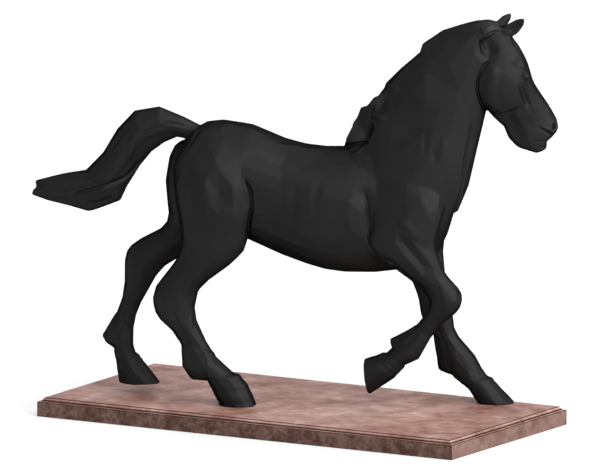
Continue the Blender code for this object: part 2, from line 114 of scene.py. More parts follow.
# How its sharp edges are marked for wear, and how strongly its painted highlights are laid on
EDGE_GAIN = 6
EDGE_ROUNDS = 3
EDGE_SPREAD = 0.6
PAINTED_HIGHLIGHT_STRENGTH = 1.2

# How the shut-in places, darkened as patina and painted shade, are found, in metres
CREVICE_START = 0.0003
CREVICE_REACH = 0.016
CREVICE_LINES = 6
CREVICE_LEAN = 0.9

# The sculptor's tool planes: how many broad facets the body has, and how nearly flat they are. They are less
# flat on the head, which begins between the two values given for x and for z.
PLANE_FACES = 3000
PLANE_SHARE = 0.85
HEAD_PLANE_SHARE = 0.45
HEAD_BEGINS_X = (178, 200)
HEAD_BEGINS_Z = (240, 260)


class Wire:
    """A shader socket to reckon with. Each sum on it adds a Math node."""

    def __init__(self, tree, socket):
        self.tree = tree
        self.socket = socket

    def node(self, kind, settings, sockets, output=0):
        """Adds any other node: its settings first, then the values or wires of its sockets."""
        made = self.tree.nodes.new(kind)
        for name, value in settings.items():
            if name == "stops":
                set_stops(made.color_ramp, value)
            else:
                setattr(made, name, value)
        for name, value in sockets.items():
            if isinstance(value, Wire):
                self.tree.links.new(value.socket, made.inputs[name])
            else:
                made.inputs[name].default_value = value
        return Wire(self.tree, made.outputs[output])

    def maths(self, operation, first, second=0.0):
        return self.node("ShaderNodeMath", {"operation": operation}, {0: first, 1: second})

    def __add__(self, other):
        return self.maths("ADD", self, other)

    def __radd__(self, other):
        return self.maths("ADD", other, self)

    def __sub__(self, other):
        return self.maths("SUBTRACT", self, other)

    def __rsub__(self, other):
        return self.maths("SUBTRACT", other, self)

    def __mul__(self, other):
        return self.maths("MULTIPLY", self, other)

    def __rmul__(self, other):
        return self.maths("MULTIPLY", other, self)

    def size(self):
        return self.maths("ABSOLUTE", self)

    def between(self, low, high):
        """0 below low and 1 above high, with a soft step between them."""
        settings = {"interpolation_type": "SMOOTHSTEP"}
        return self.node("ShaderNodeMapRange", settings, {"Value": self, "From Min": low, "From Max": high})

    def line(self, middle, width):
        """1 where this wire is at the middle, falling softly to 0 at width to each side."""
        return 1.0 - (self - middle).size().between(0.0, width)

    def noise(self, scale, detail=4.0, roughness=0.5, distortion=0.0):
        sockets = {"Vector": self, "Scale": scale, "Detail": detail, "Roughness": roughness,
                   "Distortion": distortion}
        return self.node("ShaderNodeTexNoise", {}, sockets)

    def blend(self, first, second):
        """A colour that goes from first to second as this wire goes from 0 to 1."""
        settings = {"data_type": "RGBA"}
        return self.node("ShaderNodeMix", settings, {0: self, 6: first, 7: second}, output=2)


def set_stops(ramp, stops):
    while len(ramp.elements) < len(stops):
        ramp.elements.new(1.0)
    for element, (place, colour) in zip(ramp.elements, stops):
        element.position = place
        element.color = colour


def new_material(name):
    """An empty Principled material, its shader, and the wire of its Object coordinates."""
    made = bpy.data.materials.new(name)
    made.use_nodes = True
    tree = made.node_tree
    shader = tree.nodes["Principled BSDF"]
    coordinates = tree.nodes.new("ShaderNodeTexCoord")
    return made, shader, Wire(tree, coordinates.outputs["Object"])


def connect(shader, **wires):
    """Links wires to the shader's sockets, named with underscores."""
    for name, wire in wires.items():
        wire.tree.links.new(wire.socket, shader.inputs[name.replace("_", " ")])


def bronze_material():
    """Black patina, browner with wear on its edges and with painted highlights at listed places, deeper in
    hollows, and with painted shade where it is shut in. Its gloss fades where it curves away.
    """
    made, shader, place = new_material("black_bronze_patina")
    wear_and_highlight = place.node("ShaderNodeAttribute", {"attribute_name": "edge"}, {}, output=2)
    crevice = place.node("ShaderNodeAttribute", {"attribute_name": "crevice"}, {}, output=2)
    cloud = place.noise(14.0, 5.0, 0.6)
    speckle = place.noise(420.0, 3.0, 0.6)
    # Lighter where worn at edges, with painted highlights laid on at the listed places
    rubbed_and_highlit = (wear_and_highlight + (speckle - 0.5) * 0.35).between(0.35, 0.95)
    # Darkest in hollows as patina, and where the cast shuts itself in as painted shade
    sunk = (0.0 - wear_and_highlight).between(0.15, 0.9).maths("MAXIMUM", crevice.between(0.15, 0.75))
    ground = (cloud * 0.8 + speckle * 0.2).between(0.35, 0.65).blend(PATINA_DARK, PATINA_LIGHT)
    rubbed_and_highlit_colour = (rubbed_and_highlit * 0.6).blend(ground, PATINA_RUBBED_AND_HIGHLIT)
    colour = (sunk * 0.8).blend(rubbed_and_highlit_colour, PATINA_SUNK_AND_SHADE)
    connect(shader, Base_Color=colour, Roughness=0.48 + (cloud - 0.5) * 0.14 - rubbed_and_highlit * 0.10)
    shader.inputs["Specular IOR Level"].default_value = BRONZE_GLOSS
    grain = place.noise(900.0, 2.0, 0.5)
    bump = place.node("ShaderNodeBump", {}, {"Strength": 0.12, "Distance": 0.0003, "Height": grain})
    connect(shader, Normal=bump)
    matt = place.node("ShaderNodeBsdfPrincipled", {}, {"Base Color": colour, "Specular IOR Level": 0.0})
    curved_away = place.node("ShaderNodeLayerWeight", {}, {"Blend": 0.5}, output=1).between(0.20, 0.60)
    glossy = Wire(place.tree, shader.outputs["BSDF"])
    both = place.node("ShaderNodeMixShader", {}, {0: curved_away, 1: glossy, 2: matt})
    place.tree.links.new(both.socket, place.tree.nodes["Material Output"].inputs["Surface"])
    return made


def base_lines_and_shade(from_end, from_side, height, fine):
    """Where dark lines and painted shade lie on the base: lines along the lip, on the arrises and at the
    corners, painted shade in the quirk and at the foot.
    """
    inset = from_end.maths("MINIMUM", from_end, from_side)
    on_top = inset.between(MOULDING_INSET - 0.0004, MOULDING_INSET + 0.0004)
    lip = height.line(LIP_HEIGHT, 0.0007) * (1.0 - on_top)
    quirk = inset.line(QUIRK_INSET, 0.0014) * height.line(QUIRK_HEIGHT, 0.0013)
    arris = height.line(ARRIS_HEIGHT, 0.0006) * (1.0 - inset.between(0.0006, 0.0012))
    corner = from_end.maths("MAXIMUM", from_end, from_side).line(0.0, 0.0007)
    corner = corner * (1.0 - height.between(LEDGE_HEIGHT - 0.0006, LEDGE_HEIGHT))
    foot = height.line(0.0, 0.0008)
    lines_and_shade = quirk.maths("MAXIMUM", quirk, lip)
    lines_and_shade = lines_and_shade.maths("MAXIMUM", lines_and_shade, (arris + corner + foot) * 0.8)
    return (lines_and_shade * (0.8 + fine * 0.5)).between(0.1, 0.7)


def marble_material():
    """Rosy marble in soft blotches, rougher on its long sides, darker there and on its ends as painted shade,
    with dark lines and painted shade in the moulding.
    """
    made, shader, place = new_material("rose_marble_slab")
    large = place.noise(24.0, 5.0, 0.62, 0.5)
    small = place.noise(85.0, 4.0, 0.6, 0.3)
    fine = place.noise(260.0, 4.0, 0.65)
    tone = large * 0.58 + small * 0.30 + fine * 0.12
    top = tone.node("ShaderNodeValToRGB", {"stops": TOP_STOPS}, {"Fac": tone})
    side_tone = small * 0.5 + fine * 0.5
    side = side_tone.node("ShaderNodeValToRGB", {"stops": SHADED_SIDE_STOPS}, {"Fac": side_tone})
    along, across, height = [place.node("ShaderNodeSeparateXYZ", {}, {"Vector": place}, i) for i in range(3)]
    from_end = BASE_LENGTH / 2 - along.size()
    from_side = BASE_WIDTH / 2 - across.size()
    long_side = 1.0 - from_side.between(0.0004, 0.0016)
    end_face = 1.0 - from_end.between(0.0004, 0.0016)
    # The long sides take darker colours and the ends are scaled darker, both as painted shade
    stone = long_side.blend(top, side)
    shade = 1.0 - end_face * (1.0 - long_side) * END_SHADE
    stone = place.node("ShaderNodeVectorMath", {"operation": "SCALE"}, {0: stone, "Scale": shade})
    # Dark lines along the moulding's lip, arrises and corners, and painted shade in its quirk and at its foot
    lines_and_shade = base_lines_and_shade(from_end, from_side, height, fine)
    connect(shader, Base_Color=(lines_and_shade * 0.92).blend(stone, LINES_AND_SHADE_COLOUR))
    connect(shader, Roughness=0.40 + fine * 0.14 + long_side * 0.16 + lines_and_shade * 0.2)
    shader.inputs["Specular IOR Level"].default_value = MARBLE_GLOSS
    pits = place.node("ShaderNodeBump", {}, {"Strength": 0.15, "Distance": 0.0004, "Height": fine})
    connect(shader, Normal=pits)
    return made


def floor_material():
    made, shader, place = new_material("pale_floor")
    cloud = place.noise(3.0, 3.0, 0.5)
    connect(shader, Base_Color=cloud.blend(FLOOR_DARK, FLOOR_LIGHT))
    shader.inputs["Roughness"].default_value = 0.9
    shader.inputs["Specular IOR Level"].default_value = FLOOR_GLOSS
    shader.inputs["Emission Color"].default_value = WHITE
    shader.inputs["Emission Strength"].default_value = FLOOR_GLOW
    return made


def deselect():
    bpy.ops.object.select_all(action="DESELECT")


def make_only_active(piece):
    deselect()
    piece.select_set(True)
    bpy.context.view_layer.objects.active = piece


def view_axes(azimuth, elevation):
    """The camera's right, up and forward directions."""
    a, e = math.radians(azimuth), math.radians(elevation)
    forward = Vector((-math.sin(a) * math.cos(e), math.cos(a) * math.cos(e), -math.sin(e)))
    right = Vector((math.cos(a), math.sin(a), 0))
    return right, right.cross(forward), forward


def make_camera():
    right, up, forward = view_axes(CAMERA_AZIMUTH, CAMERA_ELEVATION)
    aim = Vector((0, 0, BASE_TOP)) + right * CAMERA_AIM_ACROSS + up * CAMERA_AIM_UP
    lens = bpy.data.cameras.new("photo_view")
    lens.type = "ORTHO"
    lens.ortho_scale = CAMERA_SPAN
    camera = bpy.data.objects.new("photo_view", lens)
    bpy.context.scene.collection.objects.link(camera)
    turn = Matrix((right, up, -forward)).transposed().to_4x4()
    camera.matrix_world = Matrix.Translation(aim - forward * CAMERA_DISTANCE) @ turn
    bpy.context.scene.camera = camera


def make_light(name, place, breadth, strength):
    """A broad, even light that shines from the place toward the middle of the floor."""
    lamp = bpy.data.lights.new(name, "SUN")
    lamp.angle = math.radians(breadth)
    lamp.energy = strength
    holder = bpy.data.objects.new(name, lamp)
    bpy.context.scene.collection.objects.link(holder)
    holder.location = place
    holder.rotation_euler = (-Vector(place)).to_track_quat("-Z", "Y").to_euler()


def make_studio():
    deselect()
    bpy.ops.mesh.primitive_plane_add(size=FLOOR_SIZE, location=(0, 0, 0))
    floor = bpy.context.active_object
    floor.name = "studio_floor"
    floor.data.materials.append(floor_material())
    world = bpy.data.worlds.new("studio_air")
    world.use_nodes = True
    air = world.node_tree.nodes["Background"]
    air.inputs["Color"].default_value = WHITE
    air.inputs["Strength"].default_value = AIR_GLOW
    bpy.context.scene.world = world
    for name, place, breadth, strength in LIGHTS:
        make_light(name, place, breadth, strength)
    bpy.context.scene.view_settings.view_transform = "Standard"


# The chased relief, on the horse's grid

def to_grid(points):
    """World points as grid points, before the neck's turn is undone."""
    moved = points / GRID_STEP - np.array(HORSE_SEAT) / GRID_STEP
    cos, sin = math.cos(HORSE_TURN), math.sin(HORSE_TURN)
    x = moved[:, 0] * cos + moved[:, 1] * sin
    y = -moved[:, 0] * sin + moved[:, 1] * cos
    return np.stack([x, y, moved[:, 2]], axis=1)


def turned_to_grid(directions):
    cos, sin = math.cos(HORSE_TURN), math.sin(HORSE_TURN)
    x = directions[:, 0] * cos + directions[:, 1] * sin
    y = -directions[:, 0] * sin + directions[:, 1] * cos
    return np.stack([x, y, directions[:, 2]], axis=1)


def straightened(points):
    """The points as they would stand had the neck not been turned."""
    radius = (BEND_TO - BEND_FROM) / BEND_ANGLE
    found = points.copy()
    forward = points[:, 0] - BEND_FROM
    left = radius - points[:, 1]
    turn = np.clip(np.arctan2(forward, left), 0, BEND_ANGLE)
    along = forward * np.cos(turn) - left * np.sin(turn)
    out = forward * np.sin(turn) + left * np.cos(turn)
    bent = (forward > 0) & (points[:, 2] > NECK_LOWEST)
    found[bent, 0] = (BEND_FROM + radius * turn + along)[bent]
    found[bent, 1] = (radius - out)[bent]
    return found


def smooth_step(values, low, high):
    share = np.clip((values - low) / (high - low), 0, 1)
    return share * share * (3 - 2 * share)


def dip(distance, reach):
    """1 on the line, falling smoothly to 0 at reach."""
    share = np.clip(distance / reach, 0, 1)
    return (1 - share * share) ** 2


def rounded_path(path):
    """The path with its corners carried round on a smooth curve."""
    rows = [np.array(p, dtype=float) for p in [path[0], *path, path[-1]]]
    found = []
    for a, b, c, d in zip(rows, rows[1:], rows[2:], rows[3:]):
        for i in range(PATH_STEPS):
            t = i / PATH_STEPS
            bow = 2 * a - 5 * b + 4 * c - d
            rise = -a + 3 * b - 3 * c + d
            found.append(b + t * ((c - a) + t * (bow + t * rise)) / 2)
    return found + [rows[-1]]


def stroke(flat, path, reach, fade):
    """How strongly a stroke along the path marks each side-view point. It fades out at both of its ends."""
    path = rounded_path(path)
    round_it = np.all((flat > np.min(path, axis=0) - reach) & (flat < np.max(path, axis=0) + reach), axis=1)
    close = flat[round_it]
    nearest = np.full(len(close), np.inf)
    along = np.zeros(len(close))
    passed = 0
    for start, end in zip(path, path[1:]):
        piece = end - start
        span = math.dist(start, end)
        share = np.clip((close - start) @ piece / (span * span), 0, 1)
        distance = np.linalg.norm(close - start - share[:, None] * piece, axis=1)
        closer = distance < nearest
        nearest[closer] = distance[closer]
        along[closer] = passed + share[closer] * span
        passed += span
    from_end = np.minimum(along, passed - along)
    marked = np.zeros(len(flat))
    marked[round_it] = dip(nearest, reach) * (1 - dip(from_end, fade))
    return marked


# Strokes of the chasing tool as (side, half width, height, path of x and z): side -1 near, 1 far, 0 on both.
# Each path is followed in short steps, and each set fades over a length of its own at a stroke's ends.
PATH_STEPS = 6
HEAD_STROKES = (
    (0, 1.2, -0.35, ((192, 356), (181, 346), (177, 334), (176.5, 324), (179, 312), (184, 303),
                     (191, 300), (198, 299), (203, 299.6), (209, 302), (217, 307))),
    (0, 8.0, 1.4, ((195, 349), (189.5, 338.6), (187.6, 326.4), (189.5, 314.2), (195.5, 304))),
    (0, 2.6, 0.5, ((219, 334), (224, 322), (229, 308), (233, 298))),
    (0, 1.0, -1.0, ((257, 270), (253.6, 273.6), (250, 276.3), (246, 278.6), (241, 281), (236, 284))),
    (0, 1.5, 0.4, ((255, 276), (250, 279.5), (245, 282), (239, 284.5))),
    (0, 1.6, 0.5, ((252, 271), (247, 274.5), (241, 277.5), (236, 280))),
    (0, 1.7, -0.9, ((246, 268), (240, 268.5), (233, 269.5), (228, 268))),
    (0, 1.6, -0.7, ((247, 263), (241, 262), (234, 264.5))),
    (0, 2.0, -0.6, ((246, 292), (243.4, 289.5), (241, 286))),
    (0, 2.0, 0.6, ((244, 303), (248, 298), (251, 293))),
    (0, 1.5, -0.9, ((178, 373), (184.3, 378.9), (189.5, 381.6), (195.5, 382.4), (199.8, 381.8),
                    (204.3, 377.4), (211, 376))),
    (0, 4.5, 1.2, ((179, 381), (185, 385.6), (191, 387.3), (198, 386.8))),
    (0, 3.6, 0.9, ((180, 375), (184.4, 365.4), (187.5, 357))),
    (-1, 1.0, -0.8, ((208, 378), (210.6, 373.7), (213.1, 368.6), (216.1, 363.4), (219.2, 358.2))),
    (0, 2.4, 0.6, ((207, 355), (214, 349), (220, 343.5), (226, 341))),
    (0, 1.3, -0.6, ((214, 344), (219, 344.2), (224, 342.5), (228, 339))),
)
BODY_STROKES = (
    (0, 4.2, -0.8, ((129.7, 288), (128.7, 272), (127, 258))),
    (0, 4.0, -0.7, ((136.8, 272), (137.8, 262), (138, 248))),
    (0, 4.5, 0.7, ((146, 282), (146, 264), (142, 246))),
    (0, 1.8, -1.7, ((172, 296), (169, 276), (165.5, 257), (163.5, 232), (158.5, 206), (151.5, 182))),
    (-1, 1.6, -0.9, ((-53, 236), (-46, 222), (-44.6, 206), (-46.6, 195), (-52, 166))),
    (1, 1.6, -0.9, ((-60, 236), (-60, 218), (-66, 202), (-78, 183))),
    (0, 2.0, -1.0, ((64, 230), (70.6, 214.5), (72.7, 194), (73, 176), (78, 161), (82, 154.5),
                    (95, 154.5), (104, 147))),
    (0, 7.0, -0.8, ((24, 236), (20, 208), (22, 182))),
    (0, 6.0, -0.7, ((2, 232), (-3, 206), (0, 182))),
    (0, 7.0, 0.9, ((100, 202), (110, 192), (121, 179), (131, 172))),
    (-1, 5.0, -0.8, ((-84, 168), (-92, 150), (-104, 136))),
    (-1, 5.0, 0.8, ((-72, 176), (-80, 156), (-92, 140))),
    (1, 5.0, -0.8, ((-112, 186), (-124, 168), (-140, 152))),
    (-1, 2.6, -0.9, ((-128, 102), (-122, 90), (-114, 74), (-106, 57))),
    (1, 2.6, -0.9, ((-176, 108), (-181, 92), (-184, 74), (-187, 58))),
    (-1, 2.6, -0.9, ((140, 92), (128, 83), (116, 74), (107, 66))),
    (1, 2.6, -0.9, ((128, 96), (132, 80), (140, 64), (147, 52))),
    (-1, 4.0, -0.7, ((140, 128), (146, 116), (144, 104))),
    (1, 4.0, -0.7, ((128, 112), (128, 98), (131, 84))),
    (0, 2.0, -0.9, ((-99, 285), (-105, 272), (-113, 254))),
)
TAIL_STROKES = (
    (0, 2.0, -0.9, ((-160, 248), (-166, 237), (-171, 230.5), (-180, 223.5), (-190, 220))),
    (0, 5.0, 1.0, ((-163, 274), (-170, 259), (-172, 249), (-175, 240))),
    (0, 3.0, -0.9, ((-104, 277), (-126, 281), (-142, 279.5), (-155, 273), (-164, 262))),
    (0, 3.0, -0.8, ((-150, 288), (-168, 280), (-184, 264), (-196, 244))),
    (0, 3.0, 0.7, ((-200, 236), (-218, 226), (-240, 218), (-262, 213))),
    (0, 2.6, -0.8, ((-196, 226), (-214, 220), (-236, 213.5), (-262, 210))),
    (0, 2.6, -0.7, ((-186, 206), (-204, 199), (-222, 198))),
)
MANE_STROKES = (
    (0, 1.8, -1.1, ((76, 270.5), (68, 268.7), (55, 265.5), (40, 260))),
    (0, 5.0, 1.2, ((40, 267), (52, 270.5), (62.5, 273), (72, 275))),
    (0, 7.0, 1.8, ((48, 284), (56, 286), (61, 290))),
    (0, 10.0, -1.4, ((72, 291), (76, 285), (78, 280))),
    (0, 5.0, 1.6, ((54, 301), (68, 298), (79, 295.5), (91, 295))),
    (0, 7.0, 1.8, ((66, 306), (73, 309), (79, 315))),
    (0, 10.0, -1.4, ((91, 314), (95, 308), (98, 303))),
    (0, 4.5, 1.0, ((80, 325.5), (92, 323.5), (103, 322))),
    (0, 3.5, -0.8, ((84, 319.4), (93, 316.5), (102, 313.5))),
)
STROKE_SETS = ((HEAD_STROKES, 6), (BODY_STROKES, 14), (TAIL_STROKES, 12), (MANE_STROKES, 8))

# Places given a painted highlight, as x, z and reach
PAINTED_HIGHLIGHT_PLACES = ((78, 308, 14), (57, 276, 15), (187, 389, 12), (196, 387, 9))

# Each eye, then each nostril: its middle, its half length and half height, and how its front dips
EYE_MIDDLE = (222.3, 337.3)
EYE_REACH = (3.9, 2.6)
EYE_DIP = math.radians(-38)
NOSTRIL_MIDDLE = (253.0, 283.8)
NOSTRIL_REACH = (2.0, 3.8)
NOSTRIL_DIP = math.radians(-14)

# Ears as base, tip and half width, before the neck's turn
EARS = (
    ((204.2, -8, 378.4), (224.3, -11, 395), 7.7),
    ((196.8, 7, 382.6), (214.6, 10, 397.8), 6.4),
)
EAR_HOLLOW = 1.6

# The tuft between the ears: its path, its half width, the length it fades over and its height
FORELOCK = ((203, 391), (208, 384), (213, 374), (217.5, 365), (220.5, 358))
FORELOCK_REACH = 6
FORELOCK_FADE = 8
FORELOCK_HEIGHT = 0.6

# Long hair as ribs across it, each from its root or upper side to its edge: x and z of both ends
MANE_RIBS = (
    (66, 261, 42, 260), (74, 264, 48.5, 274), (82, 272, 56.5, 289), (86, 280, 58.5, 299),
    (92, 286, 67.8, 304.4), (98, 293, 75.4, 310), (104, 302, 82, 320), (109, 309, 85.5, 328),
    (118, 317, 97.6, 335.6), (128, 326, 108.2, 346), (138, 338, 119, 359), (142, 344, 121.5, 367.5),
    (156, 356, 142, 382), (170, 364, 159.6, 388), (178, 370, 175.6, 392), (188, 376, 188, 393),
    (195, 380, 200, 390),
)
TAIL_RIBS = (
    (-103, 279, -117, 265), (-119, 287, -127, 265.5), (-144, 297, -139, 260), (-169, 292, -152, 250),
    (-186.5, 273, -163, 236), (-200.5, 249, -175, 217), (-219, 230, -183, 200), (-228, 229, -205, 191),
    (-238, 227, -215, 187.5), (-252, 223.5, -236, 193.5), (-262, 221, -256, 197.5),
    (-268.5, 219, -273.5, 203.5),
)
FEATHER_RIBS = (
    (-1, ((-84, 60, -117, 72), (-84, 38, -119, 54), (-84, 29, -118, 38), (-92, 25, -108, 25))),
    (1, ((-178, 72, -193, 85), (-182, 52, -199, 70), (-190, 43, -205, 60), (-202, 48, -207, 57))),
    (-1, ((122, 64, 126, 90), (107, 58, 109, 80), (99, 58, 101, 76), (93, 65, 92.5, 72))),
    (1, ((154, 60, 127, 74), (156, 40, 131, 52), (152, 30, 133, 40), (148, 27, 134, 31.5))),
)
HOOF_RIBS = (
    (-1, ((-60, 31, -92, 27), (-51, 21, -90, 20), (-42, 0, -79, 0))),
    (1, ((-170, 38, -192, 36), (-162, 27, -192, 24), (-149, 9, -190, 9))),
    (-1, ((108, 43, 85, 57), (97.5, 32, 76, 53), (72, 15.5, 67, 50.5))),
    (1, ((188, 25, 156, 20), (195, 17, 164, 14), (213, 0, 176, 0))),
)
TAIL_NOTCH = (-270, 212.5)
TAIL_NOTCH_REACH = 5
TAIL_NOTCH_DEPTH = 3.0
RIBS_PER_SPAN = 6
RIB_REACH = 6

# How high the strands of each hair stand, and the coronet and growth rings of each hoof
MANE_STRAND = 0.035
TAIL_STRAND = 0.11
FEATHER_STRAND = 0.4
CORONET = 0.5
GROWTH_RING = 0.16
GROWTH_PITCH = 3.1


def across_ribs(flat, ribs):
    """Where each side-view point lies on a row of ribs: along it, across it from 0 to 1, and how far off."""
    rows = np.array(ribs, dtype=float)
    low_corner = np.minimum(rows[:, :2].min(axis=0), rows[:, 2:].min(axis=0)) - RIB_REACH
    high_corner = np.maximum(rows[:, :2].max(axis=0), rows[:, 2:].max(axis=0)) + RIB_REACH
    round_it = np.all((flat > low_corner) & (flat < high_corner), axis=1)
    found = np.full((3, len(flat)), np.inf)
    found[:2] = 0
    found[:, round_it] = nearest_ribs(flat[round_it], rows)
    return found


def nearest_ribs(flat, rows):
    nearest = np.full(len(flat), np.inf)
    along = np.zeros(len(flat))
    across = np.zeros(len(flat))
    passed = 0
    for low, high in zip(rows, rows[1:]):
        span = np.linalg.norm((high[:2] + high[2:] - low[:2] - low[2:]) / 2)
        for i in range(RIBS_PER_SPAN):
            rib = low + (high - low) * i / RIBS_PER_SPAN
            piece = rib[2:] - rib[:2]
            share = (flat - rib[:2]) @ piece / (piece @ piece)
            distance = np.linalg.norm(flat - rib[:2] - np.clip(share, 0, 1)[:, None] * piece, axis=1)
            closer = distance < nearest
            nearest[closer] = distance[closer]
            across[closer] = share[closer]
            along[closer] = passed + span * i / RIBS_PER_SPAN
        passed += span
    return np.array([along, across, nearest])


def oval(flat, middle, reach, turn):
    """How far out each side-view point lies in an oval, 1 on its rim, and its height in the oval."""
    x = flat[:, 0] - middle[0]
    z = flat[:, 1] - middle[1]
    long_way = (x * math.cos(turn) + z * math.sin(turn)) / reach[0]
    high_way = (z * math.cos(turn) - x * math.sin(turn)) / reach[1]
    return np.hypot(long_way, high_way), high_way


def band(values, middle, width):
    return np.exp(-((values - middle) / width) ** 2)


def chase_eyes(flat, facing):
    """The eyeball, the groove round it, both lids and the fold above."""
    out, high = oval(flat, EYE_MIDDLE, EYE_REACH, EYE_DIP)
    ball = 0.3 * np.clip(1 - out * out, 0, 1)
    lids = 0.5 * band(out, 1.3, 0.24) - 0.7 * band(out, 0.97, 0.17)
    fold = -0.4 * band(out, 1.9, 0.28) * smooth_step(high, 0.2, 1.2)
    return (ball + lids + fold) * facing


def chase_nostrils(flat, facing):
    out, _ = oval(flat, NOSTRIL_MIDDLE, NOSTRIL_REACH, NOSTRIL_DIP)
    return (0.6 * band(out, 1.45, 0.35) - 1.8 * dip(out, 1.1)) * facing


def chase_ears(straight, normals):
    """A hollow down the outer side of each ear."""
    push = np.zeros(len(straight))
    for base, tip, half_width in EARS:
        base = np.array(base, dtype=float)
        axis = np.array(tip) - base
        length = np.linalg.norm(axis)
        share = (straight - base) @ axis / length ** 2
        off = np.linalg.norm((straight - base - share[:, None] * axis)[:, [0, 2]], axis=1)
        width = half_width * 0.55 * np.sqrt(np.clip(1 - share, 0, 1))
        outer = smooth_step(normals[:, 1] * np.sign(base[1]), 0.2, 0.7)
        inside = smooth_step(share, 0.1, 0.3) * (1 - smooth_step(share, 0.85, 1.0))
        near = np.abs(straight[:, 1] - base[1]) < half_width
        push -= EAR_HOLLOW * dip(off / np.maximum(width, 0.3), 1) * inside * outer * near
    return push


def chase_forelock(straight, flat):
    """A tuft that falls between the ears over the forehead."""
    over = stroke(flat, FORELOCK, FORELOCK_REACH, FORELOCK_FADE)
    inside = np.clip(1 - (straight[:, 1] / FORELOCK_REACH) ** 2, 0, 1)
    strands = 0.3 * np.cos(2 * math.pi * straight[:, 1] / 2.9 + 0.5 * np.sin(flat[:, 1] / 4))
    return over * inside * (FORELOCK_HEIGHT + strands)


def comb(waves, along, across, slant, seed):
    """Wavy strands that follow the hair, as a height of about -1 to 1."""
    phase = 2 * math.pi * (waves * along + slant * across)
    wander = 0.9 * np.sin(2.1 * across + 0.08 * along + seed)
    wander = wander + 0.5 * np.sin(5.3 * across + 0.05 * along + 2 * seed)
    return 0.65 * np.cos(phase + wander) + 0.35 * np.cos(2.2 * phase + 1.6 * wander + seed)


def chase_mane(straight, flat):
    along, across, off = across_ribs(flat, MANE_RIBS)
    inside = smooth_step(across, 0.15, 0.6) * (1 - smooth_step(off, 2, 5)) * (straight[:, 0] < 203)
    return MANE_STRAND * comb(0.15, along, across, 0.5, 1.0) * inside


def chase_tail(flat):
    """Strands down the tail, and the notch in its blown tip."""
    along, across, off = across_ribs(flat, TAIL_RIBS)
    inside = smooth_step(along, 6, 40) * (1 - smooth_step(off, 3, 6))
    notch = dip(np.linalg.norm(flat - TAIL_NOTCH, axis=1), TAIL_NOTCH_REACH)
    return TAIL_STRAND * comb(4.6, across, along / 60, 0.25, 2.0) * inside - TAIL_NOTCH_DEPTH * notch


def chase_feathers(straight, flat):
    push = np.zeros(len(flat))
    for side, ribs in FEATHER_RIBS:
        along, across, off = across_ribs(flat, ribs)
        here = (straight[:, 1] * side > 8) & (straight[:, 2] < 95)
        inside = smooth_step(across, 0.3, 0.75) * (1 - smooth_step(off, 2, 5)) * smooth_step(along, 2, 12)
        push += FEATHER_STRAND * comb(3.2, across, along / 20, 0.3, 3.0) * inside * here
    return push


def chase_hooves(straight, flat):
    """A swollen coronet, and the growth rings of the horn below it."""
    push = np.zeros(len(flat))
    for side, ribs in HOOF_RIBS:
        along, _, off = across_ribs(flat, ribs)
        here = (straight[:, 1] * side > 5) * (1 - smooth_step(off, 1.5, 4))
        rings = GROWTH_RING * np.cos(2 * math.pi * along / GROWTH_PITCH) * smooth_step(along, 2, 6)
        push += (CORONET * band(along, 1.0, 1.6) + rings) * here
    return push


def chase(points, normals):
    """How far each point of the skin moves out along its normal, in grid steps."""
    straight = straightened(points)
    flat = straight[:, [0, 2]]
    facing = np.clip(np.abs(normals[:, 1]) * 2, 0, 1)
    push = np.zeros(len(points))
    for strokes, fade in STROKE_SETS:
        for side, reach, height, path in strokes:
            on_side = straight[:, 1] * side >= 0 if side else np.full(len(points), True)
            push += height * stroke(flat, path, reach, fade) * facing * on_side
    push += chase_eyes(flat, facing) + chase_nostrils(flat, facing)
    push += chase_ears(straight, normals) + chase_forelock(straight, flat)
    push += chase_mane(straight, flat) + chase_tail(flat)
    push += chase_feathers(straight, flat) + chase_hooves(straight, flat)
    return push


# The cast horse

def read_points(mesh):
    found = np.empty(len(mesh.vertices) * 3)
    mesh.vertices.foreach_get("co", found)
    return found.reshape(-1, 3)


def read_normals(mesh):
    found = np.empty(len(mesh.vertices) * 3)
    mesh.vertex_normals.foreach_get("vector", found)
    return found.reshape(-1, 3)


def write_points(mesh, points):
    mesh.vertices.foreach_set("co", points.ravel())
    mesh.update()


def edge_ends(mesh):
    found = np.empty(len(mesh.edges) * 2, dtype=np.int64)
    mesh.edges.foreach_get("vertices", found)
    return found.reshape(-1, 2).T


def neighbour_counts(one, two, count):
    """How many edges meet at each point, and at least 1."""
    return np.maximum(np.bincount(one, minlength=count) + np.bincount(two, minlength=count), 1)


def middles(points, one, two):
    """The middle of each point's neighbours."""
    count = len(points)
    total = np.empty_like(points)
    for axis in range(points.shape[1]):
        total[:, axis] = np.bincount(one, points[two, axis], count)
        total[:, axis] += np.bincount(two, points[one, axis], count)
    return total / neighbour_counts(one, two, count)[:, None]


def soften(mesh):
    """Rounds the cast's facets a little, without shrinking it."""
    points = read_points(mesh)
    one, two = edge_ends(mesh)
    for _ in range(SOFTEN_ROUNDS):
        points += (middles(points, one, two) - points) * SOFTEN_IN
        points -= (middles(points, one, two) - points) * SOFTEN_OUT
    write_points(mesh, points)


def tool_planes(mesh):
    """The cast with only a few broad facets, as a tree to look up."""
    broad = bpy.data.objects.new("broad", mesh.copy())
    bpy.context.scene.collection.objects.link(broad)
    make_only_active(broad)
    triangles = sum(len(p.vertices) - 2 for p in broad.data.polygons)
    apply_modifier(broad, "DECIMATE", {"ratio": PLANE_FACES / triangles})
    tree = BVHTree.FromObject(broad, bpy.context.evaluated_depsgraph_get())
    bpy.data.objects.remove(broad)
    return tree


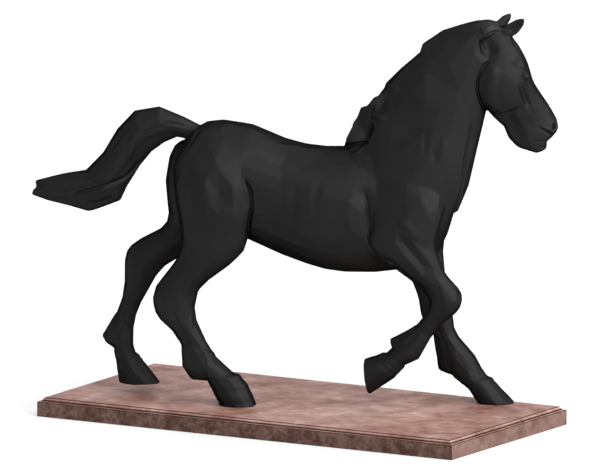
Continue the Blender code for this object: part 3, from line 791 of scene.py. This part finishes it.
def plane_down(mesh, tree):
    """Presses the skin toward its tool planes, less on the head than elsewhere."""
    points = read_points(mesh)
    straight = straightened(to_grid(points))
    on_head = smooth_step(straight[:, 0], *HEAD_BEGINS_X) * smooth_step(straight[:, 2], *HEAD_BEGINS_Z)
    share = PLANE_SHARE + (HEAD_PLANE_SHARE - PLANE_SHARE) * on_head
    flat = np.array([tree.find_nearest(point)[0] for point in points])
    write_points(mesh, points + (flat - points) * share[:, None])


def keep_within(mesh, solid):
    """Presses back any point that the chasing has carried past the solid's own box."""
    write_points(mesh, np.clip(read_points(mesh), solid.min(axis=0), solid.max(axis=0)))


def mark_edges(mesh):
    """Stores how sharply the skin stands out for wear (above 0) or sinks (below 0) at each point, with
    painted highlights added at listed places.
    """
    points = read_points(mesh)
    normals = read_normals(mesh)
    one, two = edge_ends(mesh)
    bend = ((points - middles(points, one, two)) * normals).sum(axis=1)[:, None]
    lengths = np.linalg.norm(points[one] - points[two], axis=1)
    count = len(points)
    spacing = np.bincount(one, lengths, count) + np.bincount(two, lengths, count)
    spacing /= neighbour_counts(one, two, count)
    sharpness = bend / spacing[:, None] * EDGE_GAIN
    for _ in range(EDGE_ROUNDS):
        sharpness += (middles(sharpness, one, two) - sharpness) * EDGE_SPREAD
    flat = straightened(to_grid(points))[:, [0, 2]]
    # Painted highlights at the listed places
    for x, z, reach in PAINTED_HIGHLIGHT_PLACES:
        sharpness[:, 0] += PAINTED_HIGHLIGHT_STRENGTH * dip(np.linalg.norm(flat - (x, z), axis=1), reach)
    stored = mesh.attributes.new("edge", "FLOAT", "POINT")
    stored.data.foreach_set("value", np.clip(sharpness[:, 0], -1, 1))


def mark_crevices(piece):
    """Stores how shut in each point is: the share of short lines of sight from it that meet the cast. The
    bronze is darkened there as patina and painted shade.
    """
    mesh = piece.data
    tree = BVHTree.FromObject(piece, bpy.context.evaluated_depsgraph_get())
    shut = np.zeros(len(mesh.vertices))
    for i, vertex in enumerate(mesh.vertices):
        normal = Vector(vertex.normal)
        start = vertex.co + normal * CREVICE_START
        side = normal.orthogonal().normalized()
        met = 0
        for j in range(CREVICE_LINES):
            spin = Matrix.Rotation(2 * math.pi * j / CREVICE_LINES, 3, normal)
            sight = normal + spin @ side * CREVICE_LEAN
            met += tree.ray_cast(start, sight, CREVICE_REACH)[0] is not None
        shut[i] = met / CREVICE_LINES
    stored = mesh.attributes.new("crevice", "FLOAT", "POINT")
    stored.data.foreach_set("value", shut)


def apply_modifier(piece, kind, settings):
    added = piece.modifiers.new(kind.lower(), kind)
    for name, value in settings.items():
        setattr(added, name, value)
    bpy.ops.object.modifier_apply(modifier=added.name)


def make_horse():
    """The cast copied, recast finely, chased, and thinned where it is plain."""
    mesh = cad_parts["horse"].data.copy()
    horse = bpy.data.objects.new("horse_cast", mesh)
    bpy.context.scene.collection.objects.link(horse)
    mesh.name = "horse_cast"
    make_only_active(horse)
    bpy.ops.object.mode_set(mode="EDIT")
    bpy.ops.mesh.select_all(action="SELECT")
    bpy.ops.mesh.remove_doubles(threshold=SAME_POINT)
    bpy.ops.object.mode_set(mode="OBJECT")
    planes = tool_planes(mesh)
    make_only_active(horse)
    apply_modifier(horse, "REMESH", {"mode": "VOXEL", "voxel_size": CAST_GRAIN})
    plane_down(horse.data, planes)
    soften(horse.data)
    points = read_points(horse.data)
    normals = read_normals(horse.data)
    push = chase(to_grid(points), turned_to_grid(normals))
    write_points(horse.data, points + normals * push[:, None] * GRID_STEP)
    triangles = 2 * len(horse.data.polygons)
    apply_modifier(horse, "DECIMATE", {"ratio": CAST_TRIANGLES / triangles})
    horse.data.validate()
    keep_within(horse.data, read_points(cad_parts["horse"].data))
    mark_edges(horse.data)
    mark_crevices(horse)
    bpy.ops.object.shade_smooth()
    horse.data.materials.clear()
    horse.data.materials.append(bronze_material())
    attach(horse, "root")
    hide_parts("horse")


def dress_base():
    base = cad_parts["stone_base"]
    for slot in base.material_slots:
        slot.material = marble_material()


make_camera()
make_studio()
dress_base()
make_horse()
